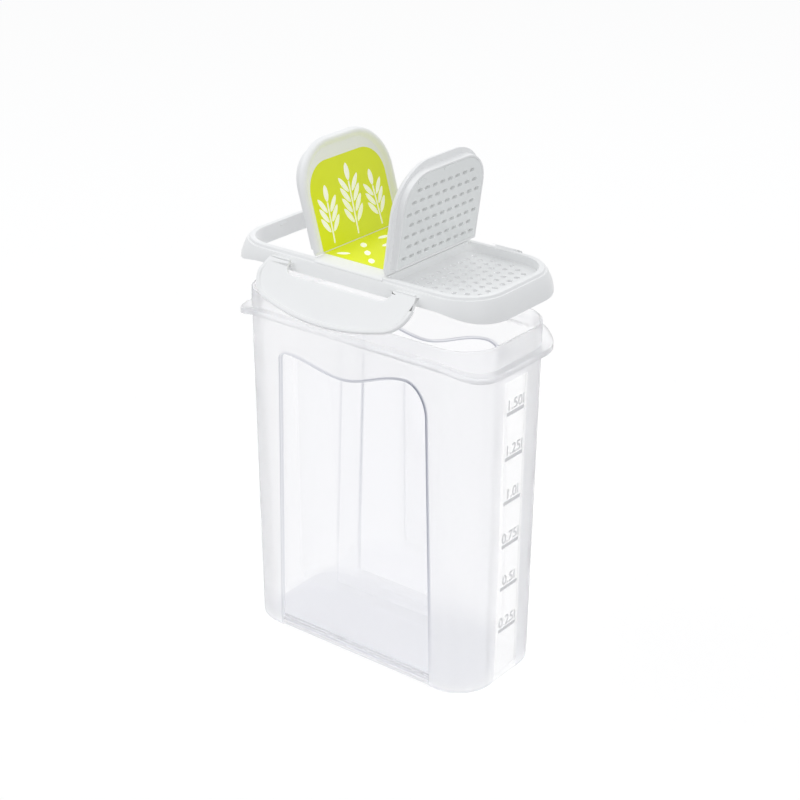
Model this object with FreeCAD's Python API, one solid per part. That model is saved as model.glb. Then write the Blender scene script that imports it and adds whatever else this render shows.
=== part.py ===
import FreeCAD, Part
import math
import os

os.makedirs("parts", exist_ok=True)
V = FreeCAD.Vector

# Frame: origin at the centre of the container's base, X along its long side,
# -Y is the front, +Z up. Sizes are in millimetres. Every lid piece is drawn
# closed and seated first and is then turned and raised to the shown pose.

# Container body
height = 196.0
base_half_length = 76.0
base_half_width = 34.6
base_corner = 21.0
rim_half_length = 77.75
rim_half_width = 36.4
rim_corner = 21.4
wall = 1.5
floor_thickness = 2.2
base_edge_radius = 1.8
floor_corner_radius = 5.0
foot_ring_width = 4.0
foot_ring_depth = 0.7

# Collar below the rim, which the lid stands on: it is higher along the middle of both long sides
collar_reach = 4.1
collar_corner = 20.6
collar_thickness = 3.6
collar_drop = 12.4
collar_rise = 5.1
wave_start = 56.0
wave_end = 79.0

# Grip recess in both long walls, open at the base
recess_depth = 0.9
recess_half_width_low = 51.3
recess_half_width_high = 47.8
recess_left_shoulder_drop = 32.8
recess_right_shoulder_drop = 41.0
recess_low_crest_drop = 29.3
recess_low_crest_x = -43.5
recess_high_crest_drop = 23.6
recess_high_crest_x = 35.0
recess_valley_drop = 34.3
recess_valley_x = -7.0
quarter_turn = 1.6

# Litre scale on the right end wall
litre_count = 6
first_litre_level = 29.6
litre_spacing = 25.1
litre_bar_half_length = 7.5
litre_bar_thickness = 2.1
print_thickness = 0.12

# Lid frame, seated on the collar
seat_gap = 0.3
rim_gap = 0.2
neck_gap = 0.2
skirt_wall = 1.2
skirt_flare = 4.9
skirt_steps = 4
skirt_shoulder_drop = 1.7
skirt_shoulder_reach = 1.5
ring_thickness = 1.4
plug_gap = 0.3
plug_wall = 1.3
plug_depth = 8.4
divider_wall = 1.3
sieve_recess = 4.6
sieve_thickness = 1.4
sieve_fit = 0.02
lift = 26.6

# Bridge between the two flaps
hinge_x = 22.0
bridge_rise = 1.3
bridge_slope = 4.6
flap_gap = 0.1
film_radius = 0.4
film_drop = 0.4
film_clearance = 0.05
fold_groove_half_width = 0.62
fold_groove_depth = 0.3
film_side_margin = 1.6

# Flaps
lip_half_length = 78.2
lip_half_width = 35.9
lip_corner = 26.0
lip_depth = 3.3
lip_inset = 1.8
lip_bulge_drop = 1.8
lip_bulge_inset = 0.4
lip_rim_width = 3.5
lip_fold_margin = 1.4
flap_thickness = 1.4
seal_gap = 0.4
seal_wall = 1.2
seal_depth = 3.8
seal_hinge_margin = 3.0
pour_opening_angle = 74.0
shaker_opening_angle = 82.0
catch_radius = 0.35
catch_half_length = 2.4
catch_level_drop = 2.6
catch_room = 0.1

# Shaker insert held in the shaker flap's sealing rim
insert_thickness = 1.2
insert_gap = 0.1
insert_lip = 0.15
slot_length = 4.0
slot_width = 1.8
round_hole_radius = 1.55
hole_pitch = 6.1
row_pitch = 5.8
row_count = 8
long_row_holes = 10
first_row_margin = 4.3
hole_edge_margin = 2.0
clip_half_length = 3.2
clip_reach = 1.6
clip_thickness = 0.5
clip_overlap = 0.02
side_clip_y = -20.5
clip_room = 6.6

# Labels
label_half_width = 29.6
label_length = 44.6
label_corner = 16.0
label_fold_margin = 0.7
label_thickness = 0.12

# Clip wings along both long sides
wing_axis_reach = 5.5
wing_axis_drop = 2.0
wing_thickness = 1.6
wing_depth = 28.4
wing_root_half_width = 46.5
wing_wide_half_width = 48.8
wing_wide_depth = 8.0
wing_corner_half_width = 36.5
wing_corner_depth = 23.0
wing_lip_thickness = 0.8
wing_lip_width = 2.0
wing_gap_half_width = 33.0
wing_gap_depth = 7.2
wing_gap_corner = 5.0
wing_droop = 48.0
wing_edge_gap = 0.7
snap_half_length = 29.0
snap_drop = 0.3
snap_height = 1.0
snap_reach = 1.2
lug_height = 2.4
lug_wall = 0.7
lug_gap = 0.1
lug_drop = 4.4
lug_end_margin = 1.0
wing_bulge = 2.4
wing_bulge_drop = 0.6
film_web = 0.36
sweep = 400.0
tolerance = 0.01
overshoot = 1.0


def save(shape, name):
    shape.exportStep("parts/" + name + ".step")


def outline(half_length, half_width, corner, level):
    """Closed rounded rectangle, flat at one level."""
    x, y, r = half_length, half_width, corner
    k = r * (1.0 - math.sqrt(0.5))
    arcs = []
    for sx, sy in ((1, -1), (1, 1), (-1, 1), (-1, -1)):
        along_x = V(sx * (x - r), sy * y, level)
        along_y = V(sx * x, sy * (y - r), level)
        middle = V(sx * (x - k), sy * (y - k), level)
        first, last = (along_x, along_y) if sx * sy < 0 else (along_y, along_x)
        arcs.append((first, middle, last))
    edges = []
    for i, (first, middle, last) in enumerate(arcs):
        following = arcs[(i + 1) % 4][0]
        edges.append(Part.Arc(first, middle, last).toShape())
        edges.append(Part.LineSegment(last, following).toShape())
    return Part.Wire(edges)


def body(sections):
    """Solid through (half length, half width, corner, level) sections."""
    return Part.makeLoft([outline(*s) for s in sections], True, True)


def grown(section, amount):
    x, y, r, level = section
    return (x + amount, y + amount, r + amount, level)


def wall_section(level, offset=0.0):
    """The container's outer outline at a level, grown by an offset."""
    t = level / height
    x = base_half_length + (rim_half_length - base_half_length) * t
    y = base_half_width + (rim_half_width - base_half_width) * t
    r = base_corner + (rim_corner - base_corner) * t
    return grown((x, y, r, level), offset)


def block(x0, x1, y0, y1, z0, z1):
    return Part.makeBox(x1 - x0, y1 - y0, z1 - z0, V(x0, y0, z0))


def prism_y(wire, half):
    """Solid from a closed wire in the plane Y = 0, reaching both ways."""
    face = Part.Face(wire)
    face.translate(V(0, -half, 0))
    return face.extrude(V(0, 2 * half, 0))


def lowest_edges(shape):
    return [e for e in shape.Edges if e.BoundBox.ZMax < shape.BoundBox.ZMin + tolerance]


def line(a, b):
    return Part.LineSegment(a, b).toShape()


def swell(a, b):
    """Curve that leaves a and reaches b level with X."""
    curve = Part.BSplineCurve()
    run = b.x - a.x
    curve.interpolate(Points=[a, b], InitialTangent=V(run, 0, 0), FinalTangent=V(run, 0, 0))
    return curve.toShape()


def turn(a, b):
    """Curve that leaves a upright and reaches b level with X."""
    curve = Part.BSplineCurve()
    rise, run = quarter_turn * (b.z - a.z), quarter_turn * (b.x - a.x)
    curve.interpolate(Points=[a, b], InitialTangent=V(0, 0, rise), FinalTangent=V(run, 0, 0))
    return curve.toShape()


def wave_band(ends, middle, thickness):
    """Band that rises from the short ends to the middle of the long sides."""
    def edge(shift):
        low, high = ends + shift, middle + shift
        left = swell(V(-wave_end, 0, low), V(-wave_start, 0, high))
        right = swell(V(wave_start, 0, high), V(wave_end, 0, low))
        return [line(V(-sweep, 0, low), V(-wave_end, 0, low)), left,
                line(V(-wave_start, 0, high), V(wave_start, 0, high)), right,
                line(V(wave_end, 0, low), V(sweep, 0, low))]
    top, bottom = edge(0.0), edge(-thickness)
    sides = [line(V(x, 0, ends - thickness), V(x, 0, ends)) for x in (-sweep, sweep)]
    return prism_y(Part.Wire(Part.__sortEdges__(top + bottom + sides)), sweep)


def mirror_x(shape):
    return shape.mirror(V(0, 0, 0), V(1, 0, 0))


def mirror_y(shape):
    return shape.mirror(V(0, 0, 0), V(0, 1, 0))


collar_top_ends = height - collar_drop
collar_top_middle = collar_top_ends + collar_rise


# Container: drafted shell with a waved collar, a grip recess front and back and a foot ring
def recess_prism(grow):
    """Outline of the grip recess in the XZ plane, open at the base, grown by the wall."""
    low = recess_half_width_low + grow
    high = recess_half_width_high + grow
    left_crest = V(recess_low_crest_x, 0, height - recess_low_crest_drop + grow)
    right_crest = V(recess_high_crest_x, 0, height - recess_high_crest_drop + grow)
    valley = V(recess_valley_x, 0, height - recess_valley_drop + grow)
    left = V(-high, 0, height - recess_left_shoulder_drop)
    right = V(high, 0, height - recess_right_shoulder_drop)
    edges = [line(V(-low, 0, -overshoot), left), turn(left, left_crest), swell(left_crest, valley),
             swell(valley, right_crest), turn(right, right_crest), line(right, V(low, 0, -overshoot)),
             line(V(low, 0, -overshoot), V(-low, 0, -overshoot))]
    return prism_y(Part.Wire(Part.__sortEdges__(edges)), sweep)


def recess_cutters(grow, offset):
    """Front and back volumes between the recess panel and the outside."""
    core = body([wall_section(-overshoot, offset), wall_section(height + overshoot, offset)])
    return recess_prism(grow).cut(core)


def make_container():
    shell = body([wall_section(0.0), wall_section(height)])
    shell = shell.makeFillet(base_edge_radius, lowest_edges(shell))
    shell = shell.cut(recess_cutters(0.0, -recess_depth))
    collar_low = collar_top_ends - collar_thickness - overshoot
    collar_high = collar_top_middle + overshoot
    neck = wall_section(collar_top_ends)
    reach = (neck[0] + collar_reach, neck[1] + collar_reach, collar_corner)
    collar = body([reach + (collar_low,), reach + (collar_high,)])
    collar = collar.common(wave_band(collar_top_ends, collar_top_middle, collar_thickness))
    shell = shell.fuse(collar)
    cavity = body([wall_section(floor_thickness, -wall), wall_section(height + overshoot, -wall)])
    cavity = cavity.makeFillet(floor_corner_radius, lowest_edges(cavity))
    cavity = cavity.cut(recess_cutters(wall, -recess_depth - wall))
    foot = body([wall_section(-overshoot, -foot_ring_width),
                 wall_section(foot_ring_depth, -foot_ring_width)])
    return shell.cut(cavity).cut(foot).removeSplitter()


def make_litre_marks():
    """One printed bar for each quarter litre, following the end wall's draft."""
    bars = []
    for i in range(litre_count):
        low = first_litre_level + i * litre_spacing
        high = low + litre_bar_thickness
        x_low, x_high = wall_section(low)[0], wall_section(high)[0]
        corners = [V(x_low, 0, low), V(x_low + print_thickness, 0, low),
                   V(x_high + print_thickness, 0, high), V(x_high, 0, high)]
        bars.append(prism_y(Part.makePolygon(corners + corners[:1]), litre_bar_half_length))
    return Part.makeCompound(bars)


# Lid frame: flared skirt, ring over the rim, plug wall inside it, bridge and wing lugs
skirt_bottom_ends = collar_top_ends + seat_gap
skirt_bottom_middle = collar_top_middle + seat_gap
ring_under = height + rim_gap
ring_top = ring_under + ring_thickness
wing_axis_level = ring_top - wing_axis_drop
neck_section = wall_section(height)


def ring_section(level, reach):
    x, y, r, _ = grown(neck_section, reach)
    return (x, y, r, level)


shoulder_reach = neck_gap + skirt_wall
shoulder_level = ring_top - skirt_shoulder_drop


def skirt_reach(level):
    """How far the swelling outer face of the skirt stands off the container's rim."""
    t = (shoulder_level - level) / (shoulder_level - skirt_bottom_ends)
    return shoulder_reach + (skirt_flare - shoulder_reach) * (1.0 - (1.0 - t) ** 2)


def skirt_sections():
    fall = (shoulder_level - skirt_bottom_ends) / skirt_steps
    levels = [shoulder_level - (skirt_steps - i) * fall for i in range(skirt_steps + 1)]
    return [ring_section(z, skirt_reach(z)) for z in levels]


ring_edge = ring_section(ring_top, shoulder_reach - skirt_shoulder_reach)
plug_outer = grown(wall_section(height), -wall - plug_gap)
plug_inner = grown(plug_outer, -plug_wall)
bridge_top = ring_top + bridge_rise
lip_top = ring_top + lip_depth
axis_level = bridge_top - film_drop
sieve_top = ring_top - sieve_recess
wing_axis_y = -(rim_half_width + wing_axis_reach)


def beyond(x):
    """Everything further along X than a value."""
    return block(x, sweep, -sweep, sweep, -sweep, sweep)


def tube(section, low, high):
    x, y, r, _ = section
    return body([(x, y, r, low), (x, y, r, high)])


def flap_axis(side, radius, half):
    """Cylinder round the fold line of one flap."""
    return Part.makeCylinder(radius, 2 * half, V(side * hinge_x, -half, axis_level), V(0, 1, 0))


def fold_groove(side):
    half = fold_groove_half_width
    return block(side * hinge_x - half, side * hinge_x + half, -sweep, sweep,
                 bridge_top - fold_groove_depth, bridge_top + overshoot)


def wing_lugs():
    """Feet on the front skirt that carry the film hinges of the front wing."""
    top = wing_axis_level
    low = top - lug_drop
    skirt_y = -(rim_half_width + skirt_reach(low + lug_height) - skirt_wall / 2)
    outer = wing_axis_y + wing_thickness / 2 + lug_gap
    solids = []
    for side in (-1, 1):
        inner_x = side * (wing_gap_half_width + lug_end_margin)
        outer_x = side * (wing_root_half_width - lug_end_margin)
        x0, x1 = min(inner_x, outer_x), max(inner_x, outer_x)
        foot = block(x0, x1, outer, skirt_y, low, low + lug_height)
        post = block(x0, x1, outer, outer + lug_wall, low, top + film_web / 2)
        solids.append(foot.fuse(post))
    return solids


def lip_section(level, inset):
    """Outline that the bridge and both flaps share, drawn in by an inset."""
    return grown((lip_half_length, lip_half_width, lip_corner, level), -inset)


def make_lid_frame():
    inner_sections = [grown(s, -skirt_wall) for s in skirt_sections()]
    x, y, r, _ = inner_sections[-1]
    inner = body(inner_sections + [(x, y, r, ring_under)])
    frame = body(skirt_sections() + [ring_edge]).cut(inner)
    wave = wave_band(skirt_bottom_ends, skirt_bottom_middle, sweep)
    plug = tube(plug_outer, ring_under - plug_depth, ring_under)
    frame = frame.cut(wave).fuse(plug)
    side_x = hinge_x + flap_gap
    hollow = tube(plug_inner, 0.0, sweep)
    frame = frame.cut(hollow.common(beyond(side_x))).cut(hollow.common(mirror_x(beyond(side_x))))
    pad = body([lip_section(ring_top, 0.0), lip_section(bridge_top, bridge_slope)])
    pad = pad.common(block(-hinge_x, hinge_x, -sweep, sweep, 0.0, sweep))
    core = tube(plug_inner, ring_under - plug_depth, ring_under)
    dividers = core.common(block(-hinge_x, hinge_x, -sweep, sweep, 0.0, sweep))
    under_bridge = tube(plug_inner, 0.0, bridge_top - flap_thickness)
    half_gap = hinge_x - divider_wall
    under_bridge = under_bridge.common(block(-half_gap, half_gap, -sweep, sweep, 0.0, sweep))
    frame = frame.fuse(pad).fuse(dividers).cut(under_bridge)
    for lug in wing_lugs():
        frame = frame.fuse(lug).fuse(mirror_y(lug))
    for side in (-1, 1):
        frame = frame.cut(flap_axis(side, film_radius, sweep)).cut(fold_groove(side))
    return frame.removeSplitter()


def hole_places():
    """Staggered rows of hole centres, in x from the fold line and y."""
    places = []
    for row in range(row_count):
        x = hinge_x + seal_hinge_margin + seal_wall + first_row_margin + row * row_pitch
        holes = long_row_holes - row % 2
        for i in range(holes):
            places.append((x, (i - (holes - 1) / 2) * hole_pitch))
    return places


def inside(section, x, y, margin):
    """True where a point keeps a margin from a rounded outline's edge."""
    half_x, half_y, r, _ = section
    dx = max(abs(x) - (half_x - r), 0.0)
    dy = max(abs(y) - (half_y - r), 0.0)
    return math.hypot(dx, dy) < r - margin


def edge_x(section, y):
    """Where a rounded outline crosses a given y on its right side."""
    half_x, half_y, r, _ = section
    beside = max(abs(y) - (half_y - r), 0.0)
    return half_x - r + math.sqrt(r ** 2 - beside ** 2)


def make_sieve_plate():
    """Perforated floor of the shaker half, flush against the plug wall."""
    plate = tube(grown(plug_inner, -sieve_fit), sieve_top - sieve_thickness, sieve_top)
    plate = plate.common(beyond(hinge_x + flap_gap))
    holes = []
    for x, y in hole_places():
        if inside(plug_inner, x, y, hole_edge_margin + round_hole_radius):
            holes.append(Part.makeCylinder(round_hole_radius, 2 * sieve_thickness,
                                           V(x, y, sieve_top - 1.5 * sieve_thickness)))
    return plate.cut(Part.makeCompound(holes))


def make_film(side):
    """Film that joins one flap to the bridge along the fold line."""
    return flap_axis(side, film_radius, lip_half_width - bridge_slope - film_side_margin)


def make_catch(side):
    """Small snap bead on the end wall that holds a closed flap's sealing rim."""
    x = side * plug_inner[0]
    bead = Part.makeCylinder(catch_radius, 2 * catch_half_length,
                             V(x, -catch_half_length, ring_top - catch_level_drop), V(0, 1, 0))
    inward = block(0.0, plug_inner[0], -sweep, sweep, 0.0, sweep)
    return bead.common(inward if side > 0 else mirror_x(inward))


# Flaps, drawn closed on the right half and mirrored for the left one
seal_outer = grown(plug_inner, -seal_gap)
seal_inner = grown(seal_outer, -seal_wall)
flap_under = ring_top + flap_gap


def make_flap():
    """Deep lipped plate with a sealing rim that enters the plug wall."""
    bulge = lip_section(lip_top - lip_bulge_drop, lip_bulge_inset)
    flap = body([lip_section(flap_under, 0.0), bulge, lip_section(lip_top, lip_inset)])
    flap = flap.common(beyond(hinge_x + flap_gap))
    field = tube(lip_section(lip_top, lip_inset + lip_rim_width), bridge_top, lip_top + overshoot)
    by_fold = block(0.0, hinge_x + lip_fold_margin, -sweep, sweep, bridge_top, lip_top + overshoot)
    flap = flap.cut(field).cut(by_fold)
    seal_low = flap_under - seal_depth
    margin = hinge_x + seal_hinge_margin
    rim = tube(seal_outer, seal_low, flap_under)
    rim = rim.common(beyond(margin))
    hollow = tube(seal_inner, seal_low - overshoot, bridge_top - flap_thickness)
    hollow = hollow.common(beyond(margin + seal_wall))
    flap = flap.fuse(rim).cut(hollow)
    flap = flap.cut(flap_axis(1, film_radius + film_clearance, sweep)).cut(fold_groove(1))
    half = catch_half_length + catch_room
    notch = Part.makeCylinder(catch_radius + catch_room, 2 * half,
                              V(plug_inner[0], -half, ring_top - catch_level_drop), V(0, 1, 0))
    return flap.cut(notch).removeSplitter()


def make_insert():
    """Slotted plate that snaps into the sealing rim of the shaker flap."""
    low = flap_under - seal_depth + insert_lip
    plate = tube(grown(seal_inner, -insert_gap), low, low + insert_thickness)
    near = hinge_x + seal_hinge_margin + seal_wall + insert_gap
    plate = plate.common(beyond(near))
    slots = []
    for x, y in hole_places():
        beside_clip = x > near + row_pitch * (row_count - 1) and abs(y) < clip_half_length + clip_room
        if inside(seal_inner, x, y, hole_edge_margin + slot_length / 2) and not beside_clip:
            half, r = slot_length / 2, slot_width / 2
            bottom, depth = low - overshoot, insert_thickness + 2 * overshoot
            slot = block(x - r, x + r, y - half + r, y + half - r, bottom, bottom + depth)
            for end in (y - half + r, y + half - r):
                slot = slot.fuse(Part.makeCylinder(r, depth, V(x, end, bottom)))
            slots.append(slot)
    return plate.cut(Part.makeCompound(slots))


def make_insert_clips():
    """Snap tabs over the insert's edge at the tip of the flap."""
    top = flap_under - seal_depth + insert_lip - clip_overlap
    clips = []
    for y in (0.0, side_clip_y):
        x = edge_x(seal_inner, abs(y) + clip_half_length) - clip_overlap
        clips.append(block(x - clip_reach, x, y - clip_half_length, y + clip_half_length,
                           top - clip_thickness, top))
    return Part.makeCompound(clips)


# Labels, each lying on the face it is printed over
def make_flap_label():
    shape = (hinge_x + label_length, label_half_width, label_corner)
    sheet = body([shape + (bridge_top,), shape + (bridge_top + label_thickness,)])
    return sheet.common(beyond(hinge_x + label_fold_margin))


def make_bridge_label():
    half = hinge_x - label_fold_margin
    return block(-half, half, -label_half_width, label_half_width, bridge_top, bridge_top + label_thickness)


# Wings, drawn hanging closed along the front
def wing_outline(y):
    """Crescent of the wing in a plane of constant Y."""
    def at(x, depth):
        return V(x, y, wing_axis_level - depth)
    root, wide = wing_root_half_width, wing_wide_half_width
    corner_x, corner_d = wing_corner_half_width, wing_corner_depth
    top = wing_edge_gap
    edges = [line(at(-root, top), at(root, top))]
    for side in (1, -1):
        bulge = at(side * (wide - wing_bulge), (wing_wide_depth + corner_d) / 2 + wing_bulge_drop)
        edges.append(line(at(side * root, top), at(side * wide, wing_wide_depth)))
        edges.append(Part.Arc(at(side * wide, wing_wide_depth), bulge, at(side * corner_x, corner_d)).toShape())
    edges.append(Part.Arc(at(corner_x, corner_d), at(0, wing_depth), at(-corner_x, corner_d)).toShape())
    return Part.Wire(Part.__sortEdges__(edges))


def make_wing():
    """Crescent plate with an open finger gap, a thick lip and a snap rib."""
    back = wing_axis_y - wing_thickness / 2
    plate = Part.Face(wing_outline(back)).extrude(V(0, wing_thickness, 0))
    half, depth, r = wing_gap_half_width, wing_gap_depth, wing_gap_corner
    top = wing_axis_level
    gap = block(-half + r, half - r, -sweep, 0.0, top - depth, top + overshoot)
    gap = gap.fuse(block(-half, half, -sweep, 0.0, top - depth + r, top + overshoot))
    for side in (-1, 1):
        corner = Part.makeCylinder(r, sweep, V(side * (half - r), -sweep, top - depth + r), V(0, 1, 0))
        gap = gap.fuse(corner)
    plate = plate.cut(gap)
    lip_face = Part.Face(wing_outline(back))
    shrunk = lip_face.copy()
    factor = 1.0 - wing_lip_width / wing_wide_half_width
    matrix = FreeCAD.Matrix()
    matrix.scale(factor, 1.0, 1.0 - wing_lip_width / wing_depth)
    shrunk = shrunk.transformGeometry(matrix)
    shrunk.translate(V(0, 0, wing_axis_level * wing_lip_width / wing_depth))
    lip = lip_face.cut(shrunk).extrude(V(0, -wing_lip_thickness, 0))
    below = block(-sweep, sweep, -sweep, 0.0, 0.0, top - wing_wide_depth)
    plate = plate.fuse(lip.common(below))
    inner = wing_axis_y + wing_thickness / 2
    snap_top = collar_top_middle - collar_thickness - snap_drop
    snap = block(-snap_half_length, snap_half_length, wing_axis_y, inner + snap_reach,
                 snap_top - snap_height, snap_top)
    return plate.fuse(snap).removeSplitter()


def make_wing_films():
    """Two short films that join a wing to its lugs."""
    films = []
    near, far = wing_gap_half_width + lug_end_margin, wing_root_half_width - lug_end_margin
    post = wing_axis_y + wing_thickness / 2 + lug_gap
    for x0 in (near, -far):
        bead = Part.makeCylinder(film_radius, far - near, V(x0, wing_axis_y, wing_axis_level), V(1, 0, 0))
        web = block(x0, x0 + far - near, wing_axis_y, post,
                    wing_axis_level - film_web / 2, wing_axis_level + film_web / 2)
        films.append(bead.fuse(web))
    return films


def raised(shape):
    moved = shape.copy()
    moved.translate(V(0, 0, lift))
    return moved


def turned_flap(shape, side, angle):
    """Closed right-hand piece to its open pose on one side of the bridge."""
    moved = shape.copy()
    moved.rotate(V(hinge_x, 0, axis_level), V(0, 1, 0), -angle)
    if side < 0:
        moved = mirror_x(moved)
    return raised(moved)


def turned_wing(shape, front=True):
    moved = shape.copy()
    moved.rotate(V(0, wing_axis_y, wing_axis_level), V(1, 0, 0), -(90.0 - wing_droop))
    if not front:
        moved = mirror_y(moved)
    return raised(moved)


def pose_group(solids, front=True):
    group = Part.makeCompound(solids)
    return raised(group if front else mirror_y(group))


save(make_container(), "container")
save(make_litre_marks(), "litre_marks")
save(raised(make_lid_frame()), "lid_frame")
save(raised(make_sieve_plate()), "sieve_plate")
save(raised(make_film(-1)), "pour_flap_film")
save(raised(make_film(1)), "shaker_flap_film")
save(raised(Part.makeCompound([make_catch(-1), make_catch(1)])), "flap_catches")
save(raised(make_bridge_label()), "bridge_label")
save(pose_group(make_wing_films()), "front_wing_films")
save(pose_group(make_wing_films(), False), "rear_wing_films")

flap = make_flap()
flap_label = make_flap_label()
save(turned_flap(flap, -1, pour_opening_angle), "pour_flap")
save(turned_flap(flap_label, -1, pour_opening_angle), "pour_flap_label")
save(turned_flap(flap, 1, shaker_opening_angle), "shaker_flap")
save(turned_flap(flap_label, 1, shaker_opening_angle), "shaker_flap_label")
save(turned_flap(make_insert(), 1, shaker_opening_angle), "shaker_insert")
save(turned_flap(make_insert_clips(), 1, shaker_opening_angle), "insert_clips")

wing = make_wing()
save(turned_wing(wing), "front_wing")
save(turned_wing(wing, False), "rear_wing")
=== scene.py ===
import bmesh
import bpy
import math
from mathutils import Matrix, Vector


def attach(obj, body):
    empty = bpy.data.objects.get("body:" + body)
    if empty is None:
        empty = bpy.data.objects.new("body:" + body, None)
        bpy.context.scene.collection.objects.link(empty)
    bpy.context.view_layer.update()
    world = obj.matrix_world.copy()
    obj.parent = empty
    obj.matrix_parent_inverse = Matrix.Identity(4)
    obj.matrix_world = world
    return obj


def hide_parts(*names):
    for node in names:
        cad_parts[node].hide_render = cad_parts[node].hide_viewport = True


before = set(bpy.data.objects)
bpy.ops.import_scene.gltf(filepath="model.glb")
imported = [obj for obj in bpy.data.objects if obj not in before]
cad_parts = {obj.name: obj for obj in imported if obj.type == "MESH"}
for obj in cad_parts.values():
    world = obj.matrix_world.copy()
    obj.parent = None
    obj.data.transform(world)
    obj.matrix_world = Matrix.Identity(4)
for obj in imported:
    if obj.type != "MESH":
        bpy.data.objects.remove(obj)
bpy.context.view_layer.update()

# Container. One injection moulding in clear polypropylene: drafted walls with
# round corners, a rolled rim, a waved collar for the lid, a sunk grip panel front
# and back and a shallow foot ring. The lid rests on the collar.
mm = 0.001
height = 196.0
base_section = (76.0, 34.6, 21.0)
rim_section = (77.75, 36.4, 21.4)
wall = 1.5
floor_top = 2.2
floor_corner = 5.0
base_edge = 1.8
foot_width = 4.0
foot_depth = 0.7
corner_steps = 16
straight_steps = 8
weld_gap = 0.002


def rounded(half_x, half_y, corner):
    """Points round a rectangle with round corners, anticlockwise from the front's right end."""
    arcs = []
    for sx, sy, start in ((1, -1, -90), (1, 1, 0), (-1, 1, 90), (-1, -1, 180)):
        turns = [math.radians(start + 90 * i / corner_steps) for i in range(corner_steps + 1)]
        arcs.append([(sx * (half_x - corner) + corner * math.cos(a),
                      sy * (half_y - corner) + corner * math.sin(a)) for a in turns])
    points = []
    for arc, following in zip(arcs, arcs[1:] + arcs[:1]):
        points += arc
        (x0, y0), (x1, y1) = arc[-1], following[0]
        for i in range(1, straight_steps):
            t = i / straight_steps
            points.append((x0 + (x1 - x0) * t, y0 + (y1 - y0) * t))
    return points


def wall_loop(level, offset=0.0, section=None):
    """One loop round the drafted wall. The level may depend on x."""
    loop = []
    nominal = rounded(*rim_section)
    for i, (x, _) in enumerate(nominal):
        z = level(abs(x)) if callable(level) else level
        t = z / height
        half_x, half_y, r = (a + (b - a) * t for a, b in zip(base_section, rim_section))
        if section:
            half_x, half_y, r = section
        px, py = rounded(half_x + offset, half_y + offset, r + offset)[i]
        loop.append((px, py, z))
    return loop


def skin(loops, caps=(False, False), ring=False, missing=(), open_ends=False):
    """Vertices and faces of a surface stretched over loops of equal length."""
    count = len(loops[0])
    vertices = [p for loop in loops for p in loop]
    faces = []
    rows = len(loops) if ring else len(loops) - 1
    for row in range(rows):
        a, b = row * count, ((row + 1) % len(loops)) * count
        for i in range(count - 1 if open_ends else count):
            if (row, i) not in missing:
                j = (i + 1) % count
                faces.append((a + i, a + j, b + j, b + i))
    if caps[0]:
        faces.append(tuple(reversed(range(count))))
    if caps[1]:
        faces.append(tuple(range(len(vertices) - count, len(vertices))))
    return vertices, faces


def fill(outlines):
    """Flat fill between an outer loop and the loops inside it, as vertices and faces."""
    bm = bmesh.new()
    edges = []
    for loop in outlines:
        vertices = [bm.verts.new(p) for p in loop]
        edges += [bm.edges.new((vertices[i - 1], vertices[i])) for i in range(len(vertices))]
    bmesh.ops.triangle_fill(bm, edges=edges, use_beauty=True)
    bm.verts.index_update()
    result = [tuple(v.co) for v in bm.verts], [tuple(v.index for v in f.verts) for f in bm.faces]
    bm.free()
    return result


def build(name, shells, material, sharp=35.0):
    """One object in metres out of several shells given in millimetres."""
    mesh = bpy.data.meshes.new(name)
    vertices, faces = [], []
    for shell_vertices, shell_faces in shells:
        start = len(vertices)
        vertices += [tuple(c * mm for c in p) for p in shell_vertices]
        faces += [tuple(start + i for i in f) for f in shell_faces]
    mesh.from_pydata(vertices, [], faces)
    bm = bmesh.new()
    bm.from_mesh(mesh)
    bmesh.ops.remove_doubles(bm, verts=bm.verts, dist=weld_gap * mm)
    bmesh.ops.recalc_face_normals(bm, faces=bm.faces)
    for edge in bm.edges:
        edge.smooth = len(edge.link_faces) != 2 or edge.calc_face_angle() < math.radians(sharp)
    for face in bm.faces:
        face.smooth = True
    bm.to_mesh(mesh)
    bm.free()
    piece = bpy.data.objects.new(name, mesh)
    bpy.context.collection.objects.link(piece)
    mesh.materials.append(material)
    normals = piece.modifiers.new("flat faces stay flat", "WEIGHTED_NORMAL")
    normals.keep_sharp = True
    return piece


def linear(hex_colour):
    """An sRGB hex value as linear red, green, blue and full alpha."""
    channels = [int(hex_colour[i:i + 2], 16) / 255 for i in (1, 3, 5)]
    return tuple(c / 12.92 if c <= 0.04045 else ((c + 0.055) / 1.055) ** 2.4 for c in channels) + (1.0,)


def add(material, kind, inputs=None, **settings):
    """Adds one node with its settings, and links or sets its inputs."""
    node = material.node_tree.nodes.new(kind)
    for key, value in settings.items():
        setattr(node, key, value)
    for socket, value in (inputs or {}).items():
        if isinstance(value, bpy.types.NodeSocket):
            material.node_tree.links.new(value, node.inputs[socket])
        else:
            node.inputs[socket].default_value = value
    return node


def calculate(material, operation, *values):
    """The result of one math node."""
    return add(material, "ShaderNodeMath", dict(enumerate(values)), operation=operation).outputs[0]


def new_material(name):
    material = bpy.data.materials.new(name)
    material.use_nodes = True
    material.node_tree.nodes.clear()
    return material


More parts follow.
